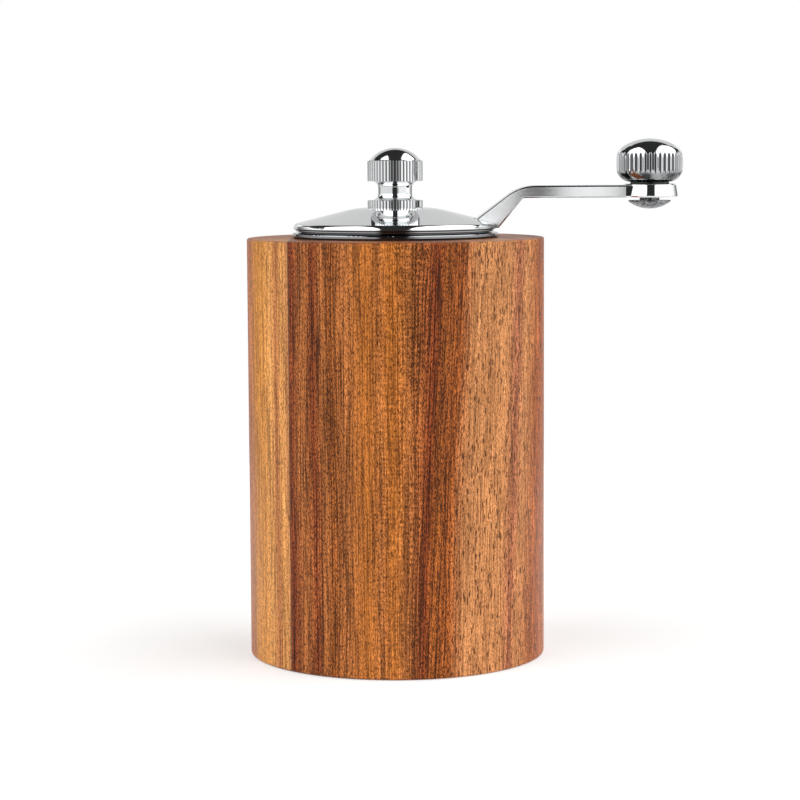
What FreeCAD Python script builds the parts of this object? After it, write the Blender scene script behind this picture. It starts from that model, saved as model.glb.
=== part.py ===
"""Hand-crank burr grinder with a turned wooden body.

A wooden cylinder holds the beans. A plastic housing screwed into its foot carries a fixed
ceramic ring burr, and a square spindle turns a ceramic cone burr inside it. The crank sits
on top of the spindle under a domed cap, and a knurled knob on the spindle's thread holds it
down and sets the gap between the burrs.

Millimetres. The origin is on the spindle's axis in the plane of the foot. +Z is up and +X
points from the spindle to the crank's grip.
"""
import FreeCAD, Part
import math
import os

V = FreeCAD.Vector
UP = V(0, 0, 1)

# ---- clearances ------------------------------------------------------------------------
running = 0.05          # radial, shaft in a bearing bore
slip = 0.1              # radial, pieces that are pushed together by hand
loose = 0.2             # radial, pockets, clearance holes and discs
air = 0.3               # between faces that move past each other
bite = 0.02             # radial, a screw or stud in the hole that it has cut

# ---- wooden body -----------------------------------------------------------------------
body_r = 30.0
body_h = 84.5
body_edge = 0.35        # sanded edge break
chamber_r = 14.0        # bean chamber

# ---- burr housing and ring burr --------------------------------------------------------
foot_gap = 6.0          # height of the retainer above the table
retainer_t = 1.0
flange_t = 2.0
ring_burr_r = 14.6
ring_burr_h = 12.0
housing_wall = 2.1
retainer_screw_pcr = ring_burr_r + slip + housing_wall + 2.9
flange_r = retainer_screw_pcr + 2.7
throat_r = 13.6         # bore above the ring burr, which stops it from rising
bridge_t = 3.0
throat_h = 13.0         # from the ring burr's top to the top of the bridge
spoke_w = 4.0
spokes = 3
hub_r = 5.4
bush_r = 4.2
bush_flange_r = 5.1
bush_flange_t = 0.8
key_w = 3.0
key_depth = 0.9
keys = 3
retainer_screws_n = 3

# ---- burr teeth ------------------------------------------------------------------------
mesh_r = 12.63          # ring burr's tooth tips at its lower face
mesh_h = 3.5            # height of the fine teeth
mesh_slope = 0.4444     # radius lost per millimetre of height
burr_gap = 0.47         # radial gap at the rest setting
fine_teeth = 36
fine_depth = 0.7
ring_mouth_r = 12.3     # ring burr's coarse tooth tips at its upper face
ring_coarse_teeth = 12
ring_coarse_depth = 0.8
cone_drop = 1.0         # how far the cone burr stands below the ring burr's lower face
cone_h = 15.0
cone_top_r = 5.8
breakers = 6
breaker_depth = 2.6
breaker_top_depth = 0.5
breaker_neck = 0.8      # step from the fine teeth in to the breakers
breaker_twist = 55.0
fine_twist = 6.0

# ---- spindle ---------------------------------------------------------------------------
square = 5.0
spindle_corner_r = 3.1  # the square's corners are turned to this
thread_r = 2.5
thread_pitch = 0.8
thread_depth = 0.4
thread_len = 9.9
clip_t = 0.8
clip_groove = 0.9       # depth of a clip's groove
clip_land = 1.0         # stem left beyond a clip
rotor_washer_r = 5.0
rotor_washer_t = 0.8
spring_wire = 0.9
spring_r = 4.55         # to the middle of the wire
spring_turns = 4.0
spring_washer_t = 0.6
spring_washer_r = 5.6

# ---- domed cap -------------------------------------------------------------------------
hub_h = 2.9             # crank hub, from the bush's flange to the cap
cap_t = 0.7
cap_r = 20.6
cap_flat_r = 7.76       # where the cone would meet the flat crown
cap_crown_r = 18.0      # rounding between the crown and the cone
cap_shoulder_h = 1.375  # from the rim up to where the cone would meet the skirt
cap_shoulder_r = 1.0
cap_skirt_edge = 0.15
cap_rim_gap = 0.4       # rim above the plate's flange
cap_lip = 0.4           # step from the skirt in to the rim's lip
cap_lip_h = 0.4

# ---- top plate -------------------------------------------------------------------------
gasket_t = 0.3
plate_r = cap_r + 0.2
gasket_r = plate_r - 0.4
plate_t = 0.7
step_r = cap_r - 1.0    # raised middle, inside the cap's skirt
step_h = 0.6
window_in = 7.2
window_out = 13.6
window_half_angle = 52.0
plate_screw_pcr = 16.8
plate_screws_n = 3
drive_r = 4.9           # turning bush in the plate
drive_flange_r = 6.5
drive_flange_t = 0.8

# ---- wood screws -----------------------------------------------------------------------
screw_r = 1.3
screw_root_r = 0.95
screw_pitch = 1.1
screw_head_r = 2.35
screw_len = 8.5
pan_head_h = 1.6
recess_w = 0.7
recess_len = 2.6
recess_depth = 0.8

# ---- crank arm -------------------------------------------------------------------------
throw = 51.3
arm_w = 8.0
arm_t = 2.45
arm_rise = 5.45         # arm's underside above the crank's seat
arm_root_in = 4.1       # from the rim in to where the arm's top leaves the cap
arm_root_out = 0.15     # from the rim out to the arm's lower edge
arm_top_slope = 37.0    # degrees
arm_under_slope = 50.5
arm_top_bend = 9.0
arm_under_bend = 0.8
arm_edge = 0.35
crank_hub_r = 6.1
eye_r = 5.75
eye_top_r = 5.35
eye_h = 2.7
eye_edge = 0.45

# ---- adjusting knob --------------------------------------------------------------------
knob_r = 5.56
knob_flange_h = 1.53
knob_neck_r = 3.45
knob_neck_h = 3.8
knob_band_h = 4.03
knob_dome_h = 2.64
knob_dome_r = 5.1
knob_teeth = 48
knob_tooth_depth = 0.3
knob_thread_h = 10.4

# ---- crank grip ------------------------------------------------------------------------
grip_r = 6.7
grip_h = 8.76
grip_crown_r = 10.0
grip_shoulder_r = 3.0
grip_foot_r = 3.0
grip_flutes = 42
flute_r = 0.45
flute_depth = 0.3
grip_washer_r = 3.9
grip_washer_t = 0.31
stud_r = 2.0
stud_screw_r = 1.75
stud_screw_len = 4.6
stud_head_r = 4.25
stud_head_h = 1.7
stud_head_rim = 0.25
stud_head_drop = 0.6    # head below the arm's eye

# ---- heights that follow ---------------------------------------------------------------
retainer_top = foot_gap + retainer_t
recess_h = retainer_top + flange_t
ring_burr_top = retainer_top + ring_burr_h
housing_top = ring_burr_top + throat_h
bridge_z = housing_top - bridge_t
cone_z = retainer_top - cone_drop
cone_top = cone_z + cone_h
rotor_clip_z = cone_z - rotor_washer_t - clip_t
spring_washer_z = bridge_z - spring_washer_t
plate_z = body_h + gasket_t
plate_flange_top = plate_z + plate_t
plate_top = plate_flange_top + step_h
crank_z = plate_top + drive_flange_t
hub_top = crank_z + hub_h
cap_seat = hub_top + cap_t
cap_rim = plate_flange_top + cap_rim_gap
cap_slope = math.atan((cap_seat - cap_rim - cap_shoulder_h) / (cap_r - cap_flat_r))
drive_clip_z = plate_z - slip - clip_t
arm_z = crank_z + arm_rise
eye_top = arm_z + eye_h
grip_z = eye_top + grip_washer_t
thread_z = hub_top - loose
knob_neck_z = cap_seat + knob_flange_h
knob_band_z = knob_neck_z + knob_neck_h
knob_band_top = knob_band_z + knob_band_h


# ---- helpers ---------------------------------------------------------------------------
def polar(radius, degrees, z=0.0):
    a = math.radians(degrees)
    return V(radius * math.cos(a), radius * math.sin(a), z)


def rounded_wire(corners):
    """Closed outline in the XZ plane from (x, z) or (x, z, corner radius) corners."""
    points = [V(c[0], 0, c[1]) for c in corners]
    radii = [c[2] if len(c) > 2 else 0.0 for c in corners]
    stops = []
    for i, point in enumerate(points):
        before = (points[i - 1] - point).normalize()
        after = (points[(i + 1) % len(points)] - point).normalize()
        if radii[i] <= 0:
            stops.append((point, None, point))
            continue
        half = before.getAngle(after) / 2
        reach = radii[i] / math.tan(half)
        bulge = radii[i] / math.sin(half) - radii[i]
        middle = point + (before + after).normalize() * bulge
        stops.append((point + before * reach, middle, point + after * reach))
    edges = []
    for i, (start, middle, end) in enumerate(stops):
        if middle is not None:
            edges.append(Part.Arc(start, middle, end).toShape())
        following = stops[(i + 1) % len(stops)][0]
        if end.distanceToPoint(following) > 1e-6:
            edges.append(Part.LineSegment(end, following).toShape())
    return Part.Wire(edges)


def turned(corners):
    """Solid of revolution about the spindle's axis, with its seam on the -X side."""
    solid = Part.Face(rounded_wire(corners)).revolve(V(0, 0, 0), UP, 360)
    solid.rotate(V(0, 0, 0), UP, 180)
    return solid


def arc_about(x, z, radius, from_deg, to_deg):
    """Arc edge in the XZ plane, angles measured from +X towards +Z."""
    ends = []
    for degrees in (from_deg, (from_deg + to_deg) / 2, to_deg):
        a = math.radians(degrees)
        ends.append(V(x + radius * math.cos(a), 0, z + radius * math.sin(a)))
    return Part.Arc(*ends).toShape()


def line(x0, z0, x1, z1):
    return Part.LineSegment(V(x0, 0, z0), V(x1, 0, z1)).toShape()


def cylinder(radius, z, height, at=V(0, 0, 0)):
    return Part.makeCylinder(radius, height, at + V(0, 0, z), UP)


def box(width, depth, height, at):
    """Box centred on at in X and Y and standing on at in Z."""
    return Part.makeBox(width, depth, height, at - V(width / 2, depth / 2, 0))


def ringed(shape, count, radius, start=0.0):
    """Copies of a shape on a circle about the spindle's axis."""
    copies = []
    for i in range(count):
        copy = shape.copy()
        copy.translate(V(radius, 0, 0))
        copy.rotate(V(0, 0, 0), UP, start + i * 360.0 / count)
        copies.append(copy)
    return copies


def square_prism(width, corner_r, z, height):
    """Square bar with its corners turned off."""
    bar = box(width, width, height, V(0, 0, z))
    return bar.common(cylinder(corner_r, z, height))


def square_bore(z, height):
    return square_prism(square + 2 * running, spindle_corner_r + slip, z, height)


def toothed_ring(count, tip_r, depth, z, turn, shape):
    """Outline of a toothed burr at one height; shape lists (share of pitch, share of depth)."""
    points = []
    for i in range(count):
        for share, deep in shape:
            angle = turn + (i + share) * 360.0 / count
            points.append(polar(tip_r + depth * deep, angle, z))
    return Part.makePolygon(points + points[:1])


def toothed(count, low, high, twist, shape):
    """Solid between two toothed outlines, each given as (tip radius, depth, height)."""
    rings = [toothed_ring(count, low[0], low[1], low[2], 0.0, shape),
             toothed_ring(count, high[0], high[1], high[2], twist, shape)]
    return Part.makeLoft(rings, True, True)


FINE = [(0.0, 0.0), (0.35, 1.0)]
COARSE = [(0.0, 0.0), (0.15, 0.6), (0.35, 1.0), (0.7, 0.6)]
BREAKER = [(0.0, 0.0), (0.08, 0.5), (0.2, 1.0), (0.4, 0.85), (0.6, 0.55), (0.8, 0.25)]


def clip(z, groove_r, outer_r):
    """Spring-steel E-clip seated in a groove."""
    ring = cylinder(outer_r, z, clip_t).cut(cylinder(groove_r + bite, z, clip_t))
    mouth = box(outer_r * 2, groove_r * 1.7, clip_t, V(outer_r, 0, z))
    hollow_r = (outer_r - groove_r) * 0.42
    reliefs = [cylinder(hollow_r, z, clip_t, polar(groove_r + hollow_r * 0.6, a)) for a in (110, 250)]
    return ring.cut(mouth).cut(reliefs[0]).cut(reliefs[1])


def screw_shank(z_head, direction, length):
    """Threaded shank that starts at the head and runs along direction (+1 up, -1 down)."""
    count = int((length - 1.5) / screw_pitch)
    corners = [(0, z_head), (screw_root_r, z_head)]
    for i in range(count):
        start = i * screw_pitch
        corners.append((screw_root_r, z_head + direction * (start + 0.35 * screw_pitch)))
        corners.append((screw_r, z_head + direction * (start + 0.6 * screw_pitch)))
        corners.append((screw_root_r, z_head + direction * (start + 0.9 * screw_pitch)))
    corners.append((screw_root_r, z_head + direction * (length - 1.3)))
    corners.append((0, z_head + direction * length))
    return turned(corners)


def cross_recess(z):
    """Two crossed slots, cut upward from z."""
    slots = box(recess_len, recess_w, recess_depth, V(0, 0, z))
    return slots.fuse(box(recess_w, recess_len, recess_depth, V(0, 0, z)))


def knurl(shape, radius, teeth, depth, z, height):
    """Cuts straight V grooves into the band of a turned shape."""
    star = toothed_ring(teeth, radius, -depth, z, 0.0, [(0.0, 0.0), (0.5, 1.0)])
    star = Part.Face(star).extrude(V(0, 0, height))
    return shape.cut(cylinder(radius * 1.2, z, height).cut(star))


# ---- foot: body, housing and ring burr -------------------------------------------------
def wood_body():
    body = turned([
        (chamber_r, body_h, body_edge), (body_r, body_h, body_edge), (body_r, 0, body_edge),
        (flange_r + loose, 0, body_edge), (flange_r + loose, recess_h),
        (ring_burr_r + slip + housing_wall + loose, recess_h),
        (ring_burr_r + slip + housing_wall + loose, housing_top + air),
        (chamber_r, housing_top + air)])
    top_pilot = cylinder(screw_r + bite, body_h - screw_len, screw_len)
    foot_pilot = cylinder(screw_r + bite, recess_h, screw_len - retainer_t - flange_t)
    holes = ringed(top_pilot, plate_screws_n, plate_screw_pcr, 90)
    holes += ringed(foot_pilot, retainer_screws_n, retainer_screw_pcr, 30)
    return body.cut(Part.makeCompound(holes))


def burr_housing():
    bore_r = ring_burr_r + slip
    outer_r = bore_r + housing_wall
    shell = turned([
        (bore_r, retainer_top), (flange_r, retainer_top, 0.3), (flange_r, recess_h, 0.3),
        (outer_r, recess_h), (outer_r, housing_top, 0.5), (throat_r, housing_top, 0.5),
        (throat_r, ring_burr_top), (bore_r, ring_burr_top)])
    arm = box(throat_r + housing_wall / 2, spoke_w, bridge_t, V(throat_r / 2 + housing_wall / 4, 0, bridge_z))
    hub = cylinder(hub_r, bridge_z, bridge_t)
    rib = box(key_depth * 2, key_w - 2 * slip, ring_burr_h, V(bore_r, 0, retainer_top))
    rib = rib.common(cylinder(bore_r + housing_wall / 2, retainer_top, ring_burr_h))
    added = [hub] + ringed(arm, spokes, 0, 60) + ringed(rib, keys, 0, 30)
    shell = shell.fuse(added).removeSplitter()
    holes = ringed(cylinder(screw_r + loose, retainer_top, flange_t), retainer_screws_n, retainer_screw_pcr, 30)
    return shell.cut(Part.makeCompound(holes + [cylinder(bush_r, bridge_z, bridge_t)]))


def bridge_bush():
    bore = spindle_corner_r + running
    return turned([
        (bore, bridge_z), (bush_r - bite, bridge_z), (bush_r - bite, housing_top),
        (bush_flange_r, housing_top), (bush_flange_r, housing_top + bush_flange_t, 0.2),
        (bore, housing_top + bush_flange_t)])


def ring_burr():
    top_r = mesh_r - mesh_h * mesh_slope
    mesh_top = retainer_top + mesh_h
    fine = toothed(fine_teeth, (mesh_r, fine_depth, retainer_top), (top_r, fine_depth, mesh_top),
                   -fine_twist, FINE)
    coarse = toothed(ring_coarse_teeth, (top_r, ring_coarse_depth, mesh_top),
                     (ring_mouth_r, ring_coarse_depth, ring_burr_top), -fine_twist * 3, COARSE)
    slot = box(key_depth * 2 + loose, key_w, ring_burr_h, V(ring_burr_r, 0, retainer_top))
    burr = cylinder(ring_burr_r, retainer_top, ring_burr_h).cut(fine).cut(coarse)
    return burr.cut(Part.makeCompound(ringed(slot, keys, 0, 30)))


def retainer():
    disc = turned([
        (mesh_r + fine_depth, foot_gap, 0.2), (flange_r - loose, foot_gap, 0.2),
        (flange_r - loose, retainer_top), (mesh_r + fine_depth, retainer_top)])
    hole = cylinder(screw_r + loose, foot_gap, retainer_t)
    return disc.cut(Part.makeCompound(ringed(hole, retainer_screws_n, retainer_screw_pcr, 30)))


def retainer_screws():
    head = turned([(0, foot_gap - pan_head_h), (screw_head_r, foot_gap - pan_head_h, 0.9),
                   (screw_head_r, foot_gap), (0, foot_gap)])
    screw = head.fuse(screw_shank(foot_gap, 1, screw_len)).cut(cross_recess(foot_gap - pan_head_h))
    return Part.makeCompound(ringed(screw, retainer_screws_n, retainer_screw_pcr, 30))


# ---- top plate and its turning bush ----------------------------------------------------
def plate_gasket():
    ring = cylinder(gasket_r, body_h, gasket_t).cut(cylinder(chamber_r + loose, body_h, gasket_t))
    hole = cylinder(screw_r + loose, body_h, gasket_t)
    return ring.cut(Part.makeCompound(ringed(hole, plate_screws_n, plate_screw_pcr, 90)))


def window(side):
    """Kidney-shaped filling window through the plate, on the +Y or the -Y side."""
    mid_r = (window_in + window_out) / 2
    a = window_half_angle
    half_w = (window_out - window_in) / 2
    tip = [polar(mid_r, turn) + polar(half_w, turn + lean) for turn, lean in ((a, 90), (-a, -90))]
    edges = [
        Part.Arc(polar(window_out, -a), polar(window_out, 0), polar(window_out, a)).toShape(),
        Part.Arc(polar(window_out, a), tip[0], polar(window_in, a)).toShape(),
        Part.Arc(polar(window_in, a), polar(window_in, 0), polar(window_in, -a)).toShape(),
        Part.Arc(polar(window_in, -a), tip[1], polar(window_out, -a)).toShape()]
    cutter = Part.Face(Part.Wire(edges)).extrude(V(0, 0, plate_top - plate_z))
    cutter.translate(V(0, 0, plate_z))
    cutter.rotate(V(0, 0, 0), UP, side)
    return cutter


def countersunk(grow):
    """Cone of a countersunk head with its top at the plate's top."""
    depth = screw_head_r - screw_r
    return turned([
        (0, plate_top), (screw_head_r + grow, plate_top),
        (screw_r + grow, plate_top - depth), (0, plate_top - depth)])


def top_plate():
    plate = turned([
        (drive_r + slip, plate_z), (plate_r, plate_z, 0.1), (plate_r, plate_flange_top, 0.25),
        (step_r, plate_flange_top, 0.15), (step_r, plate_top, 0.2), (drive_r + slip, plate_top, 0.15)])
    hole = cylinder(screw_r + loose, plate_z, plate_top - plate_z).fuse(countersunk(running))
    cutters = [window(90), window(-90)] + ringed(hole, plate_screws_n, plate_screw_pcr, 90)
    return plate.cut(Part.makeCompound(cutters))


def plate_screws():
    neck = plate_top - (screw_head_r - screw_r)
    stem = cylinder(screw_root_r, body_h - 1.0, neck - body_h + 1.0)
    screw = countersunk(0).fuse([stem, screw_shank(body_h, -1, screw_len)])
    screw = screw.cut(cross_recess(plate_top - recess_depth))
    return Part.makeCompound(ringed(screw, plate_screws_n, plate_screw_pcr, 90))


def drive_bush():
    low = drive_clip_z - clip_land
    bush = turned([
        (0, low), (drive_r, low, 0.2), (drive_r, plate_top), (drive_flange_r, plate_top),
        (drive_flange_r, crank_z, 0.2), (0, crank_z)])
    groove_r = drive_r - clip_groove / 2
    groove = cylinder(drive_r + 1, drive_clip_z - slip / 2, clip_t + slip)
    groove = groove.cut(cylinder(groove_r, drive_clip_z - slip / 2, clip_t + slip))
    return bush.cut(groove).cut(square_bore(low, crank_z - low))


def drive_clip():
    return clip(drive_clip_z, drive_r - clip_groove / 2, drive_r + 1.6)


# ---- spindle and cone burr -------------------------------------------------------------
def spindle():
    foot = rotor_clip_z - clip_land
    bar = square_prism(square, spindle_corner_r, foot, thread_z - foot)
    top = thread_z + thread_len
    corners = [(0, thread_z - 1), (thread_r - thread_depth, thread_z - 1)]
    count = int((thread_len - 1.0) / thread_pitch)
    for i in range(count):
        z = thread_z + 0.4 + i * thread_pitch
        corners.append((thread_r - thread_depth, z))
        corners.append((thread_r, z + thread_pitch / 2))
    corners += [(thread_r - thread_depth, z + thread_pitch), (thread_r - thread_depth, top), (0, top)]
    bar = bar.fuse(turned(corners))
    groove_r = spindle_corner_r - clip_groove
    groove = cylinder(spindle_corner_r + 1, rotor_clip_z, clip_t).cut(cylinder(groove_r, rotor_clip_z, clip_t))
    return bar.cut(groove)


def cone_burr():
    low_r = mesh_r + mesh_slope * cone_drop - burr_gap
    fine_h = mesh_h + cone_drop
    top_r = low_r - mesh_slope * fine_h
    fine = toothed(fine_teeth, (low_r, -fine_depth, cone_z), (top_r, -fine_depth, cone_z + fine_h),
                   fine_twist, FINE)
    throat = toothed(breakers, (top_r - breaker_neck, -breaker_depth, cone_z + fine_h),
                     (cone_top_r, -breaker_top_depth, cone_top), breaker_twist, BREAKER)
    return fine.fuse(throat).cut(square_bore(cone_z, cone_h))


def rotor_washer():
    disc = cylinder(rotor_washer_r, cone_z - rotor_washer_t, rotor_washer_t)
    return disc.cut(cylinder(spindle_corner_r + slip, cone_z - rotor_washer_t, rotor_washer_t))


def rotor_clip():
    return clip(rotor_clip_z, spindle_corner_r - clip_groove, spindle_corner_r + 1.5)


def burr_spring():
    low = cone_top + spring_wire / 2
    height = spring_washer_z - spring_wire / 2 - low
    helix = Part.makeHelix(height / spring_turns, height, spring_r)
    start = V(spring_r, 0, 0)
    circle = Part.Wire(Part.Circle(start, V(0, 1, 0), spring_wire / 2).toShape())
    coil = Part.Wire(helix).makePipeShell([circle], True, True)
    coil.translate(V(0, 0, low))
    return coil


def spring_washer():
    disc = cylinder(spring_washer_r, spring_washer_z, spring_washer_t)
    return disc.cut(cylinder(spindle_corner_r + slip, spring_washer_z, spring_washer_t))


# ---- crank -----------------------------------------------------------------------------
def cap_height(r):
    """Height of the cap's outer cone at radius r."""
    return cap_seat - (r - cap_flat_r) * math.tan(cap_slope)


def dome_cap():
    bore = thread_r + air * 3
    under = cap_t / math.cos(cap_slope)
    flat_in = cap_flat_r - cap_t * math.tan(cap_slope / 2)
    lip_r = cap_r - cap_lip
    skirt_in = step_r + air
    skirt_h = cap_height(cap_r) - cap_rim - cap_lip_h
    widest = (skirt_h - cap_skirt_edge) / math.tan((math.pi / 2 - cap_slope) / 2)
    shoulder = min(cap_shoulder_r, 0.98 * widest)
    shell = turned([
        (bore, cap_seat, cap_skirt_edge), (cap_flat_r, cap_seat, cap_crown_r),
        (cap_r, cap_height(cap_r), shoulder), (cap_r, cap_rim + cap_lip_h, cap_skirt_edge),
        (lip_r, cap_rim + cap_lip_h), (lip_r, cap_rim, 0.1), (skirt_in, cap_rim, 0.1),
        (skirt_in, cap_height(skirt_in) - under, 0.4),
        (flat_in, cap_seat - cap_t, cap_crown_r - cap_t), (bore, cap_seat - cap_t)])
    notch_in = cap_r - arm_root_in - cap_t
    notch_len = arm_root_in + cap_t + 5
    notch = box(notch_len, arm_w + 2 * loose, cap_seat, V(notch_in + notch_len / 2, 0, cap_rim - 1))
    return shell.cut(notch)


def crank_arm():
    top = arm_z + arm_t
    low = plate_top + air
    tongue_top = cap_height(cap_r - arm_root_in) - cap_t
    rise = math.tan(math.radians(arm_top_slope))
    root_x = cap_r - arm_root_in
    root_z = cap_height(root_x)
    tongue_x = root_x - (root_z - tongue_top) / rise
    bend_x = root_x + (top - root_z) / rise
    under_x = cap_r + arm_root_out
    under_bend_x = under_x + (arm_z - low) / math.tan(math.radians(arm_under_slope))
    inner_x = drive_flange_r + slip
    outline = rounded_wire([
        (crank_hub_r / 2, tongue_top), (tongue_x, tongue_top), (bend_x, top, arm_top_bend),
        (throw, top), (throw, arm_z), (under_bend_x, arm_z, arm_under_bend), (under_x, low),
        (inner_x, low), (inner_x, crank_z), (crank_hub_r / 2, crank_z)])
    strip = Part.Face(outline).extrude(V(0, arm_w, 0))
    strip.translate(V(0, -arm_w / 2, 0))
    beyond = cap_r + 0.5
    sides = [edge for edge in strip.Edges
             if edge.BoundBox.YLength < 0.01 and edge.BoundBox.XMin > tongue_x - 0.01
             and edge.BoundBox.XMax > beyond and edge.BoundBox.XLength > 0.01]
    strip = strip.makeFillet(arm_edge, sides)
    eye = turned([(0, arm_z), (eye_r, arm_z, arm_edge), (eye_top_r, eye_top, eye_edge), (0, eye_top)])
    eye.translate(V(throw, 0, 0))
    hub = turned([(0, crank_z), (crank_hub_r, crank_z), (crank_hub_r, hub_top, 0.7), (0, hub_top)])
    arm = strip.fuse([eye, hub])
    bore = cylinder(stud_r + running, arm_z - 1, eye_h + 2, V(throw, 0, 0))
    return arm.cut(bore).cut(square_bore(crank_z - 1, hub_h + 2))


def adjusting_knob():
    z0 = cap_seat
    neck = knob_neck_r
    flare = knob_r - 0.45
    top = knob_band_top + knob_dome_h
    dome_r = (knob_dome_r ** 2 + (knob_dome_h - 0.25) ** 2) / (2 * (knob_dome_h - 0.25))
    half = math.degrees(math.asin(knob_dome_r / dome_r))
    r_neck = 1.35
    mid_low = knob_neck_z + r_neck
    mid_high = knob_band_z - r_neck
    edges = [
        line(0, z0, knob_r - 0.15, z0), line(knob_r - 0.15, z0, knob_r, z0 + 0.15),
        line(knob_r, z0 + 0.15, knob_r, knob_neck_z - 0.1),
        line(knob_r, knob_neck_z - 0.1, flare, knob_neck_z),
        line(flare, knob_neck_z, neck + r_neck, knob_neck_z),
        arc_about(neck + r_neck, mid_low, r_neck, 270, 180),
        line(neck, mid_low, neck, mid_high),
        arc_about(neck + r_neck, mid_high, r_neck, 180, 90),
        line(neck + r_neck, knob_band_z, knob_r - 0.1, knob_band_z),
        line(knob_r - 0.1, knob_band_z, knob_r, knob_band_z + 0.1),
        line(knob_r, knob_band_z + 0.1, knob_r, knob_band_top - 0.1),
        line(knob_r, knob_band_top - 0.1, knob_dome_r, knob_band_top + 0.25),
        arc_about(0, top - dome_r, dome_r, 90 - half, 90),
        line(0, top, 0, z0)]
    knob = Part.Face(Part.Wire(edges)).revolve(V(0, 0, 0), UP, 360)
    knob = knurl(knob, knob_r, knob_teeth, knob_tooth_depth, z0, knob_flange_h)
    knob = knurl(knob, knob_r, knob_teeth, knob_tooth_depth, knob_band_z, knob_band_h + 0.25)
    mouth = turned([(0, z0), (thread_r + 4 * loose, z0), (thread_r + running, z0 + 4 * loose),
                    (thread_r + running, z0 + knob_thread_h), (0, z0 + knob_thread_h)])
    return knob.cut(mouth)


def crank_grip():
    top = grip_z + grip_h
    foot = grip_foot_r
    side = grip_r - grip_shoulder_r
    reach = grip_crown_r - grip_shoulder_r
    shoulder_z = top - grip_crown_r + math.sqrt(reach ** 2 - side ** 2)
    tilt = math.degrees(math.acos(side / reach))
    edges = [
        line(0, grip_z, grip_r - foot, grip_z),
        arc_about(grip_r - foot, grip_z + foot, foot, -90, 0),
        line(grip_r, grip_z + foot, grip_r, shoulder_z),
        arc_about(side, shoulder_z, grip_shoulder_r, 0, tilt),
        arc_about(0, top - grip_crown_r, grip_crown_r, tilt, 90),
        line(0, top, 0, grip_z)]
    grip = Part.Face(Part.Wire(edges)).revolve(V(0, 0, 0), UP, 360)
    flute = cylinder(flute_r, grip_z + grip_h / 5, grip_h * 0.65)
    grip = grip.cut(Part.makeCompound(ringed(flute, grip_flutes, grip_r - flute_depth + flute_r)))
    socket = cylinder(stud_screw_r + bite, grip_z, stud_screw_len + air)
    return grip.cut(socket)


def grip_stud():
    neck = arm_z - stud_head_drop
    low = neck - stud_head_h
    sag = stud_head_h - stud_head_rim
    crown = (stud_head_r ** 2 + sag ** 2) / (2 * sag)
    half = math.degrees(math.asin(stud_head_r / crown))
    edges = [
        arc_about(0, low + crown, crown, -90, half - 90),
        line(stud_head_r, low + sag, stud_head_r, neck),
        line(stud_head_r, neck, stud_r, neck), line(stud_r, neck, stud_r, grip_z),
        line(stud_r, grip_z, stud_screw_r, grip_z),
        line(stud_screw_r, grip_z, stud_screw_r, grip_z + stud_screw_len),
        line(stud_screw_r, grip_z + stud_screw_len, 0, grip_z + stud_screw_len),
        line(0, grip_z + stud_screw_len, 0, low)]
    return Part.Face(Part.Wire(edges)).revolve(V(0, 0, 0), UP, 360)


def grip_washer():
    return cylinder(grip_washer_r, eye_top, grip_washer_t).cut(cylinder(stud_r + running, eye_top, grip_washer_t))


def at_grip(shape):
    shape.translate(V(throw, 0, 0))
    return shape


nodes = {
    "wood_body": wood_body(),
    "burr_housing": burr_housing(),
    "bridge_bush": bridge_bush(),
    "ring_burr": ring_burr(),
    "burr_retainer": retainer(),
    "retainer_screws": retainer_screws(),
    "plate_gasket": plate_gasket(),
    "top_plate": top_plate(),
    "plate_screws": plate_screws(),
    "drive_bush": drive_bush(),
    "drive_clip": drive_clip(),
    "spindle": spindle(),
    "cone_burr": cone_burr(),
    "rotor_washer": rotor_washer(),
    "rotor_clip": rotor_clip(),
    "burr_spring": burr_spring(),
    "spring_washer": spring_washer(),
    "crank_arm": crank_arm(),
    "dome_cap": dome_cap(),
    "adjusting_knob": adjusting_knob(),
    "crank_grip": at_grip(crank_grip()),
    "grip_stud": at_grip(grip_stud()),
    "grip_washer": at_grip(grip_washer()),
}

os.makedirs("parts", exist_ok=True)
for name, shape in nodes.items():
    if not shape.isValid():
        raise ValueError(name + " is not a valid shape")
    shape.exportStep(os.path.join("parts", name + ".step"))
    print(name, len(shape.Solids), "solids", round(shape.Volume, 2), "mm3")
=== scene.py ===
"""Hand-crank burr grinder with a turned acacia body and chromed crank works.

Each section below is one piece, or a group of like pieces, in the order of assembly.
"""

import math

import bpy
from mathutils import Matrix

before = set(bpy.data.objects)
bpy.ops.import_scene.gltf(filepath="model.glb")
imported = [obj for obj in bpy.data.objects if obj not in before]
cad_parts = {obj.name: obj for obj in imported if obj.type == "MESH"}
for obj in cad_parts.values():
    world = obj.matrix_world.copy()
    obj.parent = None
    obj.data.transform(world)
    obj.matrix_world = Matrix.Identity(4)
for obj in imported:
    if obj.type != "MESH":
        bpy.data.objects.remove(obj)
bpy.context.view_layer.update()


# ---- wood_body ---------------------------------------------------------------------------
# The bean holder: a cylinder turned from two acacia boards glued side by side, sanded and
# rubbed with oil. The grain runs up the body and comes out as pores on its two ends.

def linear(hex_colour):
    """sRGB hex to the linear RGBA that a shader socket takes."""
    channels = [int(hex_colour[i:i + 2], 16) / 255 for i in (0, 2, 4)]
    return [c / 12.92 if c <= 0.04045 else ((c + 0.055) / 1.055) ** 2.4 for c in channels] + [1.0]


def add(tree, kind, inputs=None, **settings):
    """Adds a shader node. Its inputs are values, or nodes or sockets to link from."""
    made = tree.nodes.new("ShaderNode" + kind)
    for name, value in settings.items():
        setattr(made, name, value)
    for socket, value in (inputs or {}).items():
        if isinstance(value, bpy.types.Node):
            value = value.outputs[0]
        if isinstance(value, bpy.types.NodeSocket):
            tree.links.new(value, made.inputs[socket])
        else:
            made.inputs[socket].default_value = value
    return made


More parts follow.
